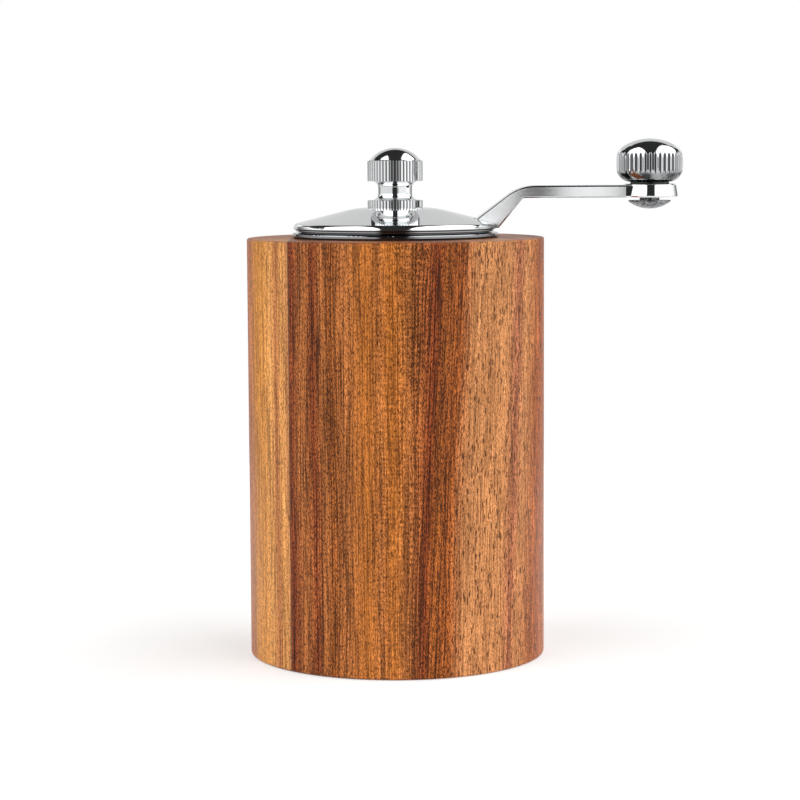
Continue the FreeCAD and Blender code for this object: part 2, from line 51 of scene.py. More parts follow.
def start_material(name):
    """New material, its node tree and its Principled shader."""
    material = bpy.data.materials.new(name)
    material.use_nodes = True
    return material, material.node_tree, material.node_tree.nodes["Principled BSDF"]


def finish_shader(tree, shader, sockets):
    """Sets or links the Principled shader's sockets."""
    for socket, value in sockets.items():
        if isinstance(value, bpy.types.Node):
            value = value.outputs[0]
        if isinstance(value, bpy.types.NodeSocket):
            tree.links.new(value, shader.inputs[socket])
        else:
            shader.inputs[socket].default_value = value


def cover(material, *names):
    """Gives CAD nodes their finish."""
    for name in names:
        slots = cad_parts[name].data.materials
        slots.clear()
        slots.append(material)


def fill_ramp(ramp, bands, low, high):
    """Colour stops from (millimetres, tone) pairs, between two ends in millimetres."""
    stops = ramp.color_ramp.elements
    while len(stops) > 1:
        stops.remove(stops[-1])
    stops[0].position = 0
    stops[0].color = linear(bands[0][1])
    for place, colour in bands:
        stops.new((place - low) / (high - low)).color = linear(colour)


# Oiled acacia: growth bands from honey to walnut brown, drawn out in thin dark streaks and
# bundles of fibre, with open pores that the oil leaves as short dark dashes. Its sheen is soft.
GLUE_LINE = -20.7           # mm across the body, where the two boards meet
GLUE_WIDTH = 0.2            # mm
BOARD_APART = 90            # mm between the places in the log that the boards were cut from
BODY_MIDDLE = 42            # mm above the foot
BAND_LEAN = 0.045           # mm sideways for each mm of height, right of the middle
LEAN_FULL = 7               # mm right of the middle, where the lean is full
BAND_SWAY = 2.4             # mm, how far a band wanders
SWAY = 14                   # mm, width of one sway
SWAY_RUN = 50               # mm, height of one sway
STREAK = 0.27               # mm, one thin growth streak
STREAK_RUN = 70             # times as long as it is wide
FIGURE = 1.6                # mm, one broader streak
FIGURE_RUN = 24
FLECK = 0.17                # mm, one bundle of fibres
FLECK_RUN = 3
PORE = 0.62                 # mm between pores
PORE_RUN = 2.7              # mm between the ends of pores in line
VESSEL = 1.2                # mm between the long dark vessel lines
VESSEL_RUN = 24             # times as long as they are apart
RIPPLE = 0.5                # mm, height of one ripple across the grain
RIPPLE_WIDE = 5             # times as wide as it is high
RIPPLE_AT = -5.5            # mm across the growth rings, middle of the ripples
WIDE_ACROSS = (0.978, 0.208, 0)     # the way across the wide board's growth rings
WIDE_ENDS = (-30, 31)               # mm, the first and the last of its rings
NARROW_ACROSS = (0.766, -0.643, 0)
NARROW_ENDS = (-31, 0)
UMBER = "672D11"
RUSSET = "743D15"
CHESTNUT = "84451A"
CARAMEL = "94572A"
ROSE = "995A3B"
FOX = "9A542A"
COPPER = "A6663A"
AMBER = "AB6428"
TAN = "B67949"
HONEY = "BE7E3A"
GOLD = "CE8F4E"
WIDE_BOARD = [              # mm across the growth rings, and the band's tone there
    (-24, UMBER), (-22, CARAMEL), (-20.5, UMBER), (-19, CARAMEL), (-18, RUSSET), (-15.5, CARAMEL),
    (-11.5, AMBER), (-9, CARAMEL), (-7, AMBER), (-4, CARAMEL), (0.3, UMBER), (2.3, RUSSET),
    (4, CHESTNUT), (5.5, CHESTNUT), (7, COPPER), (8.5, TAN), (11, TAN), (16.5, TAN), (19, ROSE),
    (21, TAN), (23, COPPER), (24.5, FOX), (26, FOX), (28, FOX), (31, COPPER)]
NARROW_BOARD = [
    (-30, COPPER), (-27, CARAMEL), (-24, COPPER), (-21, AMBER), (-19, FOX), (-16.5, COPPER),
    (-13.5, HONEY), (-10.5, HONEY), (-7.5, GOLD), (-5.5, COPPER), (-3.7, GOLD), (-2, TAN)]

acacia, tree, shader = start_material("oiled_acacia")
place = add(tree, "TexCoord")
mm = add(tree, "Mapping", {"Vector": place.outputs["Object"], "Scale": (1000, 1000, 1000)})
along = add(tree, "SeparateXYZ", {0: mm})
narrow = add(tree, "Math", {0: along.outputs["X"], 1: GLUE_LINE}, operation="LESS_THAN")

# the bands lean and wander a little on their way up
slow = add(tree, "Mapping", {"Vector": mm, "Scale": (1 / SWAY, 1 / SWAY, 1 / SWAY_RUN)})
wander = add(tree, "TexNoise", {"Vector": slow, "Scale": 1, "Detail": 2, "Roughness": 0.45})
sway = add(tree, "Math", {0: wander, 1: BAND_SWAY, 2: -BAND_SWAY / 2}, operation="MULTIPLY_ADD")
from_mid = add(tree, "Math", {0: along.outputs["Z"], 1: BODY_MIDDLE}, operation="SUBTRACT")
tilt = add(tree, "MapRange", {0: along.outputs["X"], 1: 0, 2: LEAN_FULL, 3: 0, 4: -BAND_LEAN})
lean = add(tree, "Math", {0: from_mid, 1: tilt, 2: sway}, operation="MULTIPLY_ADD")
leaned = add(tree, "Math", {0: along.outputs["X"], 1: lean})
apart = add(tree, "Math", {0: narrow, 1: BOARD_APART, 2: along.outputs["Y"]},
            operation="MULTIPLY_ADD")
grain = add(tree, "CombineXYZ", {0: leaned, 1: apart, 2: along.outputs["Z"]})

# wide board: rings nearly square to the front, so the front shows bands
rings = add(tree, "CombineXYZ", {0: leaned, 1: along.outputs["Y"]})
across = add(tree, "VectorMath", {0: rings, 1: WIDE_ACROSS}, operation="DOT_PRODUCT")
wide_at = add(tree, "MapRange", {0: across.outputs["Value"], 1: WIDE_ENDS[0], 2: WIDE_ENDS[1]})
wide_tone = add(tree, "ValToRGB", {0: wide_at})
fill_ramp(wide_tone, WIDE_BOARD, *WIDE_ENDS)

# narrow board: rings at a slant to the glue line
slant = add(tree, "VectorMath", {0: rings, 1: NARROW_ACROSS}, operation="DOT_PRODUCT")
narrow_at = add(tree, "MapRange", {0: slant.outputs["Value"], 1: NARROW_ENDS[0], 2: NARROW_ENDS[1]})
narrow_tone = add(tree, "ValToRGB", {0: narrow_at})
fill_ramp(narrow_tone, NARROW_BOARD, *NARROW_ENDS)
tone = add(tree, "Mix", {0: narrow, 6: wide_tone, 7: narrow_tone}, data_type="RGBA")

# light and dark of the streaks and fibres
thin_at = add(tree, "Mapping", {
    "Vector": grain, "Scale": (1 / STREAK, 1 / STREAK, 1 / (STREAK * STREAK_RUN))})
thin = add(tree, "TexNoise", {"Vector": thin_at, "Scale": 1, "Detail": 2, "Roughness": 0.6})
figure_at = add(tree, "Mapping", {
    "Vector": grain, "Scale": (1 / FIGURE, 1 / FIGURE, 1 / (FIGURE * FIGURE_RUN))})
figure = add(tree, "TexNoise", {"Vector": figure_at, "Scale": 1, "Detail": 2, "Roughness": 0.5})
fleck_at = add(tree, "Mapping", {
    "Vector": grain, "Scale": (1 / FLECK, 1 / FLECK, 1 / (FLECK * FLECK_RUN))})
fleck = add(tree, "TexNoise", {"Vector": fleck_at, "Scale": 1, "Detail": 1, "Roughness": 0.6})
thin_light = add(tree, "MapRange", {0: thin, 1: 0.36, 2: 0.58, 3: 0.58, 4: 1.2})
figure_light = add(tree, "MapRange", {0: figure, 1: 0.3, 2: 0.7, 3: 0.84, 4: 1.16})
fleck_light = add(tree, "MapRange", {0: fleck, 1: 0.34, 2: 0.56, 3: 0.5, 4: 1.26})
lights = add(tree, "Math", {0: thin_light, 1: figure_light}, operation="MULTIPLY")
fine_light = add(tree, "Math", {0: lights, 1: fleck_light}, operation="MULTIPLY")

# ripples across the grain, in the middle of the wide board
ripple_at = add(tree, "Mapping", {
    "Vector": grain, "Scale": (1 / (RIPPLE * RIPPLE_WIDE), 1 / (RIPPLE * RIPPLE_WIDE), 1 / RIPPLE)})
ripple = add(tree, "TexNoise", {"Vector": ripple_at, "Scale": 1, "Detail": 1, "Roughness": 0.5})
off_ripple = add(tree, "Math", {0: across.outputs["Value"], 1: -RIPPLE_AT})
far_ripple = add(tree, "Math", {0: off_ripple}, operation="ABSOLUTE")
rippled = add(tree, "MapRange", {0: far_ripple, 1: 2.5, 2: 6, 3: 0.9, 4: 0.1},
              interpolation_type="SMOOTHSTEP")
wave = add(tree, "Math", {0: ripple, 1: 0.5}, operation="SUBTRACT")
ripple_light = add(tree, "Math", {0: wave, 1: rippled, 2: 1.0}, operation="MULTIPLY_ADD")
even_light = add(tree, "Math", {0: fine_light, 1: ripple_light}, operation="MULTIPLY")

# dark bands are the most streaky, and the darker the streak, the redder
channels = add(tree, "SeparateColor", {0: tone.outputs[2]})
contrast = add(tree, "MapRange", {0: channels.outputs["Red"], 1: 0.12, 2: 0.45, 3: 2.3, 4: 1.1})
light = add(tree, "Math", {0: even_light, 1: contrast}, operation="POWER")
green = add(tree, "Math", {0: light, 1: 1.06}, operation="POWER")
blue = add(tree, "Math", {0: light, 1: 1.15}, operation="POWER")
shade = add(tree, "CombineColor", {0: light, 1: green, 2: blue})
streaked = add(tree, "Mix", {0: 1.0, 6: tone.outputs[2], 7: shade}, data_type="RGBA",
               blend_type="MULTIPLY")

# pores, most of them right of the middle, and a few long vessel lines
pore_at = add(tree, "Mapping", {"Vector": grain, "Scale": (1 / PORE, 1 / PORE, 1 / PORE_RUN)})
pores = add(tree, "TexVoronoi", {"Vector": pore_at, "Scale": 1, "Randomness": 1})
pore = add(tree, "MapRange", {0: pores, 1: 0.2, 2: 0.33, 3: 1, 4: 0}, interpolation_type="SMOOTHSTEP")
porous = add(tree, "MapRange", {0: across.outputs["Value"], 1: -4, 2: 6, 3: 0.4, 4: 0.85},
             interpolation_type="SMOOTHSTEP")
pore_depth = add(tree, "Math", {0: pore, 1: porous}, operation="MULTIPLY")
vessel_at = add(tree, "Mapping", {
    "Vector": grain, "Scale": (1 / VESSEL, 1 / VESSEL, 1 / (VESSEL * VESSEL_RUN))})
vessels = add(tree, "TexVoronoi", {"Vector": vessel_at, "Scale": 1, "Randomness": 1})
vessel = add(tree, "MapRange", {0: vessels, 1: 0.08, 2: 0.15, 3: 0.65, 4: 0},
             interpolation_type="SMOOTHSTEP")
hollow = add(tree, "Math", {0: pore_depth, 1: vessel}, operation="MAXIMUM")
pored = add(tree, "Mix", {0: hollow, 6: streaked.outputs[2], 7: linear("45200C")}, data_type="RGBA")

# glue line, and the darker end grain on the two ends
from_glue = add(tree, "Math", {0: along.outputs["X"], 1: -GLUE_LINE})
beside = add(tree, "Math", {0: from_glue}, operation="ABSOLUTE")
glue = add(tree, "MapRange", {0: beside, 1: GLUE_WIDTH / 2, 2: GLUE_WIDTH, 3: 0.6, 4: 0})
glued = add(tree, "Mix", {0: glue, 6: pored.outputs[2], 7: linear("4A3626")}, data_type="RGBA")
facing = add(tree, "SeparateXYZ", {0: place.outputs["Normal"]})
up_or_down = add(tree, "Math", {0: facing.outputs["Z"]}, operation="ABSOLUTE")
end = add(tree, "MapRange", {0: up_or_down, 1: 0.5, 2: 0.9, 3: 0, 4: 0.45})
ended = add(tree, "Mix", {0: end, 6: glued.outputs[2], 7: linear("5A2E16")}, data_type="RGBA")

height = add(tree, "Math", {0: fleck, 1: hollow}, operation="SUBTRACT")
relief = add(tree, "Bump", {"Strength": 0.3, "Distance": 0.00004, "Height": height})
sheen = add(tree, "MapRange", {0: thin, 1: 0.3, 2: 0.7, 3: 0.34, 4: 0.44})
finish_shader(tree, shader, {
    "Base Color": ended.outputs[2], "Roughness": sheen, "Normal": relief, "IOR": 1.48,
    "Specular IOR Level": 0.14})
cover(acacia, "wood_body")


# ---- burr_housing ------------------------------------------------------------------------
# The plastic seat of the fixed burr, injection moulded, with a three-armed bridge that
# centres the spindle. Three screws hold it in the foot.
# Glass-filled nylon, moulded: black with a fine grey bloom where the fibres reach the skin.
nylon_black, tree, shader = start_material("moulded_glass_filled_nylon")
place = add(tree, "TexCoord")
bloom = add(tree, "TexNoise", {"Vector": place.outputs["Object"], "Scale": 900, "Detail": 3})
tone = add(tree, "Mix", {0: bloom, 6: linear("131415"), 7: linear("26282A")}, data_type="RGBA")
skin = add(tree, "TexNoise", {"Vector": place.outputs["Object"], "Scale": 4000, "Detail": 2})
grained = add(tree, "Bump", {"Strength": 0.3, "Distance": 0.00003, "Height": skin})
dullness_and_painted_grip_shade = add(tree, "MapRange", {0: bloom, 1: 0.3, 2: 0.7, 3: 0.42, 4: 0.58})
finish_shader(tree, shader, {
    "Base Color": tone.outputs[2], "Roughness": dullness_and_painted_grip_shade, "Normal": grained, "IOR": 1.53})
cover(nylon_black, "burr_housing")


# ---- bridge_bush -------------------------------------------------------------------------
# The spindle's lower bearing, turned from brass bar and pressed into the bridge.
# Turned brass: yellow, with rings left by the tool and a little brown tarnish between them.
brass, tree, shader = start_material("turned_brass")
place = add(tree, "TexCoord")
rings = add(tree, "TexWave", {"Vector": place.outputs["Object"], "Scale": 500, "Distortion": 0.4},
            wave_type="RINGS", rings_direction="Z")
stain = add(tree, "TexNoise", {"Vector": place.outputs["Object"], "Scale": 700, "Detail": 3})
tone = add(tree, "Mix", {0: stain, 6: linear("C9A14E"), 7: linear("A07A38")}, data_type="RGBA")
tooled = add(tree, "Bump", {"Strength": 0.3, "Distance": 0.00001, "Height": rings})
finish_shader(tree, shader, {
    "Base Color": tone.outputs[2], "Metallic": 1.0, "Roughness": 0.28, "Normal": tooled})
cover(brass, "bridge_bush")


# ---- ring_burr ---------------------------------------------------------------------------
# The fixed burr, pressed and fired from alumina, keyed into the housing.
# Fired alumina: off-white and matt, with a fine tooth like unglazed porcelain.
alumina, tree, shader = start_material("fired_alumina")
place = add(tree, "TexCoord")
cloud = add(tree, "TexNoise", {"Vector": place.outputs["Object"], "Scale": 260, "Detail": 4})
tone = add(tree, "Mix", {0: cloud, 6: linear("EFEDE6"), 7: linear("DCD8CC")}, data_type="RGBA")
tooth = add(tree, "TexNoise", {"Vector": place.outputs["Object"], "Scale": 5000, "Detail": 2})
fired = add(tree, "Bump", {"Strength": 0.35, "Distance": 0.00003, "Height": tooth})
finish_shader(tree, shader, {
    "Base Color": tone.outputs[2], "Roughness": 0.55, "Normal": fired, "IOR": 1.76})
cover(alumina, "ring_burr")


# ---- burr_retainer and retainer_screws ---------------------------------------------------
# The ring that keeps the fixed burr in its seat, and the three screws through it and the
# housing into the wood. Both are zinc plated and passivated.
# Passivated zinc: grey with faint crystals and a cool and a warm cast from place to place.
zinc, tree, shader = start_material("passivated_zinc_plate")
place = add(tree, "TexCoord")
crystal = add(tree, "TexVoronoi", {"Vector": place.outputs["Object"], "Scale": 1400, "Randomness": 1})
cast = add(tree, "TexNoise", {"Vector": place.outputs["Object"], "Scale": 180, "Detail": 2})
tone = add(tree, "Mix", {0: cast, 6: linear("B4BAC2"), 7: linear("C4C0B4")}, data_type="RGBA")
spangle = add(tree, "MapRange", {0: crystal, 1: 0, 2: 1, 3: 0.26, 4: 0.46})
finish_shader(tree, shader, {"Base Color": tone.outputs[2], "Metallic": 1.0, "Roughness": spangle})
cover(zinc, "burr_retainer", "retainer_screws")


# ---- plate_gasket ------------------------------------------------------------------------
# A thin seal punched from sheet rubber, between the wood and the top plate.
# Sheet rubber: nearly black and dull, with a dusting of talc.
rubber, tree, shader = start_material("punched_sheet_rubber")
place = add(tree, "TexCoord")
talc = add(tree, "TexNoise", {"Vector": place.outputs["Object"], "Scale": 1200, "Detail": 4})
tone = add(tree, "Mix", {0: talc, 6: linear("0C0C0D"), 7: linear("1B1B1C")}, data_type="RGBA")
finish_shader(tree, shader, {"Base Color": tone.outputs[2], "Roughness": 0.75, "IOR": 1.52})
cover(rubber, "plate_gasket")


# ---- top_plate ---------------------------------------------------------------------------
# The fixed plate under the cap, stamped from steel with a raised middle and two windows for
# filling, then plated. Its edge shows below the cap as a thin bright line.
# Bright chrome on pressed steel: a mirror with a barely felt ripple and a few wiped marks.
# Painted shade: from the foot of the raised middle outwards, where the cap shades it, the plate is
# painted dark grey, and its cut edge a lighter grey.
CHROME = "E0E2E3"
# painted shade: the dark grey that stands in for shade on the folds, rims and edges of the chrome parts
PAINTED_SHADE_GREY = "4C4D4F"
PLATE_FOLD = 19.3           # mm from the axis, foot of the raised middle
PLATE_EDGE = 20.75          # mm from the axis
FOLD_FADE = 0.2             # mm over which either of them comes in
bright, tree, shader = start_material("bright_chrome_on_pressed_steel")
place = add(tree, "TexCoord")
mm = add(tree, "Mapping", {"Vector": place.outputs["Object"], "Scale": (1000, 1000, 1000)})
along = add(tree, "SeparateXYZ", {0: mm})
flat = add(tree, "CombineXYZ", {0: along.outputs["X"], 1: along.outputs["Y"]})
out = add(tree, "VectorMath", {0: flat}, operation="LENGTH")
# painted shade: dark grey from the fold outwards under the cap, and a lighter grey on the cut edge
fold = add(tree, "MapRange", {0: out.outputs["Value"], 1: PLATE_FOLD, 2: PLATE_FOLD + FOLD_FADE})
cut = add(tree, "MapRange", {0: out.outputs["Value"], 1: PLATE_EDGE - FOLD_FADE, 2: PLATE_EDGE})
shaded_recess = add(tree, "Mix", {0: fold, 6: linear(CHROME), 7: linear(PAINTED_SHADE_GREY)}, data_type="RGBA")
tone = add(tree, "Mix", {0: cut, 6: shaded_recess.outputs[2], 7: linear("8E8F91")}, data_type="RGBA")
wiped = add(tree, "TexNoise", {"Vector": mm, "Scale": 0.09, "Detail": 5, "Roughness": 0.65})
clean = add(tree, "MapRange", {0: wiped, 1: 0.35, 2: 0.75, 3: 0.035, 4: 0.085})
peel = add(tree, "TexNoise", {"Vector": mm, "Scale": 0.42, "Detail": 1})
ripple = add(tree, "Bump", {"Strength": 0.25, "Distance": 0.000012, "Height": peel})
finish_shader(tree, shader, {
    "Base Color": tone.outputs[2], "Metallic": 1.0, "Roughness": clean, "Normal": ripple})
cover(bright, "top_plate")


# ---- plate_screws ------------------------------------------------------------------------
# Three countersunk screws that hold the plate down. They are the same zinc plated screws as
# those in the foot, with a flush head.
cover(zinc, "plate_screws")


# ---- drive_bush and drive_clip -----------------------------------------------------------
# The black bush that turns in the plate and carries the crank, turned from nylon rod, and
# the E-clip that keeps it from lifting out.
# Turned nylon: black and slightly waxy, so its edges carry a soft light.
waxy, tree, shader = start_material("turned_black_nylon")
place = add(tree, "TexCoord")
lathe = add(tree, "TexWave", {"Vector": place.outputs["Object"], "Scale": 700, "Distortion": 0.6},
            wave_type="RINGS", rings_direction="Z")
turned = add(tree, "Bump", {"Strength": 0.2, "Distance": 0.000012, "Height": lathe})
rubbed = add(tree, "TexNoise", {"Vector": place.outputs["Object"], "Scale": 600, "Detail": 3})
wear_and_painted_knurl_light = add(tree, "MapRange", {0: rubbed, 1: 0.3, 2: 0.7, 3: 0.3, 4: 0.45})
tone = add(tree, "Mix", {0: rubbed, 6: linear("0B0B0C"), 7: linear("161617")}, data_type="RGBA")
finish_shader(tree, shader, {
    "Base Color": tone.outputs[2], "Roughness": wear_and_painted_knurl_light, "Normal": turned, "IOR": 1.53})
cover(waxy, "drive_bush")

# Tempered spring steel: dark grey, blued a little by the furnace.
tempered, tree, shader = start_material("tempered_spring_steel")
place = add(tree, "TexCoord")
heat = add(tree, "TexNoise", {"Vector": place.outputs["Object"], "Scale": 500, "Detail": 3})
tone = add(tree, "Mix", {0: heat, 6: linear("6E7076"), 7: linear("55545A")}, data_type="RGBA")
oiled = add(tree, "MapRange", {0: heat, 1: 0.3, 2: 0.7, 3: 0.28, 4: 0.42})
finish_shader(tree, shader, {"Base Color": tone.outputs[2], "Metallic": 1.0, "Roughness": oiled})
cover(tempered, "drive_clip")


# ---- spindle -----------------------------------------------------------------------------
# The square shaft from the crank down to the turning burr, with a thread for the knob.
# Cold-drawn steel: bright, with fine lines along the bar from the drawing die.
drawn, tree, shader = start_material("cold_drawn_steel")
place = add(tree, "TexCoord")
die_at = add(tree, "Mapping", {"Vector": place.outputs["Object"], "Scale": (6000, 6000, 60)})
die = add(tree, "TexNoise", {"Vector": die_at, "Scale": 1, "Detail": 3})
lined = add(tree, "Bump", {"Strength": 0.25, "Distance": 0.00001, "Height": die})
drag = add(tree, "MapRange", {0: die, 1: 0.3, 2: 0.7, 3: 0.2, 4: 0.34})
finish_shader(tree, shader, {
    "Base Color": linear("BEC0C2"), "Metallic": 1.0, "Roughness": drag, "Normal": lined})
cover(drawn, "spindle")


# ---- cone_burr, rotor_washer, rotor_clip, burr_spring and spring_washer ------------------
# The turning burr slides on the spindle's square and rests on a washer and an E-clip. A
# spring between it and the bridge takes up the play.
cover(alumina, "cone_burr")
cover(zinc, "rotor_washer", "spring_washer")
cover(tempered, "rotor_clip", "burr_spring")


# ---- crank_arm ---------------------------------------------------------------------------
# The crank: a flat steel bar bent up out of the cap, with a round eye for the grip. It is
# barrel finished before plating, so its flat sides stay satin and a little wavy.
# Chrome over a barrel finish: soft light and dark swells on the sides, a clear mirror on the turned eye,
# and painted shade on the bar's edges: a dark grey line, full on the upper edges and fainter on the
# lower.
ARM_WAVE = 44.0             # mm, length of one wave along the arm
ARM_SWELL = 2.0             # mm, height of the wave as the light shows it
ARM_LEAN = 0.045            # slope of the side, as the light shows it
ARM_FLAT = 28.0             # mm from the spindle, where the side is flat
EYE_START = 46.2            # mm from the spindle
UPRIGHT = 0.15              # most that a side's normal points up or down
EDGE_LEAN = 0.62            # sideways part of the normal, halfway round an edge
EDGE_WIDTH = 0.33           # more or less than that, on the whole edge
satin, tree, shader = start_material("chrome_over_barrel_finished_steel")
place = add(tree, "TexCoord")
mm = add(tree, "Mapping", {"Vector": place.outputs["Object"], "Scale": (1000, 1000, 1000)})
along = add(tree, "SeparateXYZ", {0: mm})
phase = add(tree, "Math", {0: along.outputs["X"], 1: math.tau / ARM_WAVE,
                           2: -math.tau * ARM_FLAT / ARM_WAVE}, operation="MULTIPLY_ADD")
wave = add(tree, "Math", {0: phase}, operation="COSINE")
swell = add(tree, "Math", {0: along.outputs["X"], 1: ARM_LEAN / ARM_SWELL, 2: wave},
            operation="MULTIPLY_ADD")
on_bar = add(tree, "Math", {0: along.outputs["X"], 1: EYE_START}, operation="LESS_THAN")
facing = add(tree, "SeparateXYZ", {0: place.outputs["Normal"]})
upright = add(tree, "Math", {0: facing.outputs["Z"]}, operation="ABSOLUTE")
side = add(tree, "Math", {0: upright, 1: UPRIGHT}, operation="LESS_THAN")
matt = add(tree, "Math", {0: side, 1: on_bar}, operation="MULTIPLY")
waved = add(tree, "Bump", {"Strength": matt, "Distance": ARM_SWELL / 1000, "Height": swell})
scuff_at = add(tree, "Mapping", {"Vector": mm, "Scale": (0.4, 3, 3)})
scuff = add(tree, "TexNoise", {"Vector": scuff_at, "Scale": 1, "Detail": 4, "Roughness": 0.6})
scuffed = add(tree, "Bump", {"Strength": 0.15, "Distance": 0.00003, "Height": scuff, "Normal": waved})
soft = add(tree, "MapRange", {0: scuff, 1: 0.3, 2: 0.7, 3: 0.27, 4: 0.35})
rough = add(tree, "Mix", {0: matt, 2: 0.06, 3: soft}, data_type="FLOAT")
# painted shade: dark grey along the bar's edges, fainter on the lower ones
sideways = add(tree, "Math", {0: facing.outputs["Y"]}, operation="ABSOLUTE")
on_edge = add(tree, "Math", {0: sideways, 1: EDGE_LEAN, 2: EDGE_WIDTH}, operation="COMPARE")
edge_shade_strength = add(tree, "MapRange", {0: facing.outputs["Z"], 1: -0.1, 2: 0.1, 3: 0.6, 4: 1})
edge = add(tree, "Math", {0: on_edge, 1: edge_shade_strength}, operation="MULTIPLY")
painted_edge_shade = add(tree, "Math", {0: edge, 1: on_bar}, operation="MULTIPLY")
tone = add(tree, "Mix", {0: painted_edge_shade, 6: linear(CHROME), 7: linear(PAINTED_SHADE_GREY)}, data_type="RGBA")
finish_shader(tree, shader, {
    "Base Color": tone.outputs[2], "Metallic": 1.0, "Roughness": rough, "Normal": scuffed})
cover(satin, "crank_arm")


# ---- dome_cap ----------------------------------------------------------------------------
# The cap over the plate, spun from sheet steel to a shallow cone with a rolled shoulder, and
# notched for the arm.
# Bright chrome on spun steel: the plate's mirror, with painted shade along the rolled rim: a dark grey
# line, and a grey lip below it.
RIM = 86.3                  # mm above the foot, where the rim is rolled in
RIM_LINE = 0.1              # mm, half the width of the painted dark line
RIM_FADE = 0.2              # mm from the rim, where it has gone
spun, tree, shader = start_material("bright_chrome_on_spun_steel")
place = add(tree, "TexCoord")
mm = add(tree, "Mapping", {"Vector": place.outputs["Object"], "Scale": (1000, 1000, 1000)})
along = add(tree, "SeparateXYZ", {0: mm})
from_rim = add(tree, "Math", {0: along.outputs["Z"], 1: RIM}, operation="SUBTRACT")
off_rim = add(tree, "Math", {0: from_rim}, operation="ABSOLUTE")
# painted shade: a dark grey line at the rim, and grey on the lip below it
rim = add(tree, "MapRange", {0: off_rim, 1: RIM_LINE, 2: RIM_FADE, 3: 1, 4: 0})
below = add(tree, "Math", {0: from_rim, 1: 0}, operation="LESS_THAN")
shaded_lip = add(tree, "Mix", {0: below, 6: linear(CHROME), 7: linear("A8A9AB")}, data_type="RGBA")
tone = add(tree, "Mix", {0: rim, 6: shaded_lip.outputs[2], 7: linear(PAINTED_SHADE_GREY)}, data_type="RGBA")
wiped = add(tree, "TexNoise", {"Vector": mm, "Scale": 0.11, "Detail": 5, "Roughness": 0.65})
clean = add(tree, "MapRange", {0: wiped, 1: 0.35, 2: 0.75, 3: 0.035, 4: 0.09})
peel = add(tree, "TexNoise", {"Vector": mm, "Scale": 0.42, "Detail": 1})
ripple = add(tree, "Bump", {"Strength": 0.25, "Distance": 0.000012, "Height": peel})
finish_shader(tree, shader, {
    "Base Color": tone.outputs[2], "Metallic": 1.0, "Roughness": clean, "Normal": ripple})
cover(spun, "dome_cap")


# ---- adjusting_knob ----------------------------------------------------------------------
# The knob that holds the crank down and sets the grind. It is turned from bar, straight
# knurled at the head and the foot, and plated.
# Bright chrome on knurled bar: a clear mirror. The plate rounds the crests of the knurls, which catch
# the light all round. Painted light on the knurls: dark grey shade down in the grooves, and a highlight
# lighter than the chrome on the crests.
KNURL_BOTTOM = 5.27         # mm from the axis
KNURL_TIP = 5.5             # mm from the axis
CREST_FOOT = 0.26           # mm below the tip, where the rounding starts
CREST_FULL = 0.1            # mm below the tip, where it is full
HEAD_AT = 97.9              # mm above the foot, middle of the head's knurl
HEAD_HALF = 2.05            # mm, half the knurl's height
FOOT_TOP = 92.0             # mm above the foot, top of the lower knurl
turned_bright, tree, shader = start_material("bright_chrome_on_knurled_bar")
place = add(tree, "TexCoord")
mm = add(tree, "Mapping", {"Vector": place.outputs["Object"], "Scale": (1000, 1000, 1000)})
along = add(tree, "SeparateXYZ", {0: mm})
flat = add(tree, "CombineXYZ", {0: along.outputs["X"], 1: along.outputs["Y"]})
out = add(tree, "VectorMath", {0: flat}, operation="LENGTH")
# painted shade in the knurls' grooves, rising to a painted highlight on their crests
shine = add(tree, "MapRange", {0: out.outputs["Value"], 1: KNURL_BOTTOM, 2: KNURL_TIP, 3: 0.02, 4: 1.0})
head = add(tree, "Math", {0: along.outputs["Z"], 1: HEAD_AT, 2: HEAD_HALF}, operation="COMPARE")
foot = add(tree, "Math", {0: along.outputs["Z"], 1: FOOT_TOP}, operation="LESS_THAN")
knurled = add(tree, "Math", {0: head, 1: foot})
mark = add(tree, "TexNoise", {"Vector": mm, "Scale": 0.3, "Detail": 4, "Roughness": 0.6})
clean = add(tree, "MapRange", {0: mark, 1: 0.35, 2: 0.75, 3: 0.04, 4: 0.1})
wear_and_painted_knurl_light = add(tree, "Mix", {0: shine, 6: linear("58595B"), 7: linear("F4F5F6")}, data_type="RGBA")
tone = add(tree, "Mix", {0: knurled, 6: linear(CHROME), 7: wear_and_painted_knurl_light.outputs[2]}, data_type="RGBA")
crest = add(tree, "MapRange", {
    0: out.outputs["Value"], 1: KNURL_TIP - CREST_FOOT, 2: KNURL_TIP - CREST_FULL})
rounding = add(tree, "Math", {0: crest, 1: knurled}, operation="MULTIPLY")
outward = add(tree, "VectorTransform", {0: flat}, vector_type="NORMAL", convert_from="OBJECT",
              convert_to="WORLD")
surface = add(tree, "NewGeometry")
rounded = add(tree, "Mix", {0: rounding, 4: surface.outputs["Normal"], 5: outward}, data_type="VECTOR")
crested = add(tree, "VectorMath", {0: rounded.outputs[1]}, operation="NORMALIZE")
peel = add(tree, "TexNoise", {"Vector": mm, "Scale": 0.9, "Detail": 1})
ripple = add(tree, "Bump", {"Strength": 0.3, "Distance": 0.00001, "Height": peel, "Normal": crested})
finish_shader(tree, shader, {
    "Base Color": tone.outputs[2], "Metallic": 1.0, "Roughness": clean, "Normal": ripple})
cover(turned_bright, "adjusting_knob")


# ---- grip_washer, crank_grip and grip_stud -----------------------------------------------
# The grip is turned, fluted and plated like the knob. It spins on a stud whose domed head
# shows under the arm's eye, over a thin nylon washer.
cover(waxy, "grip_washer")

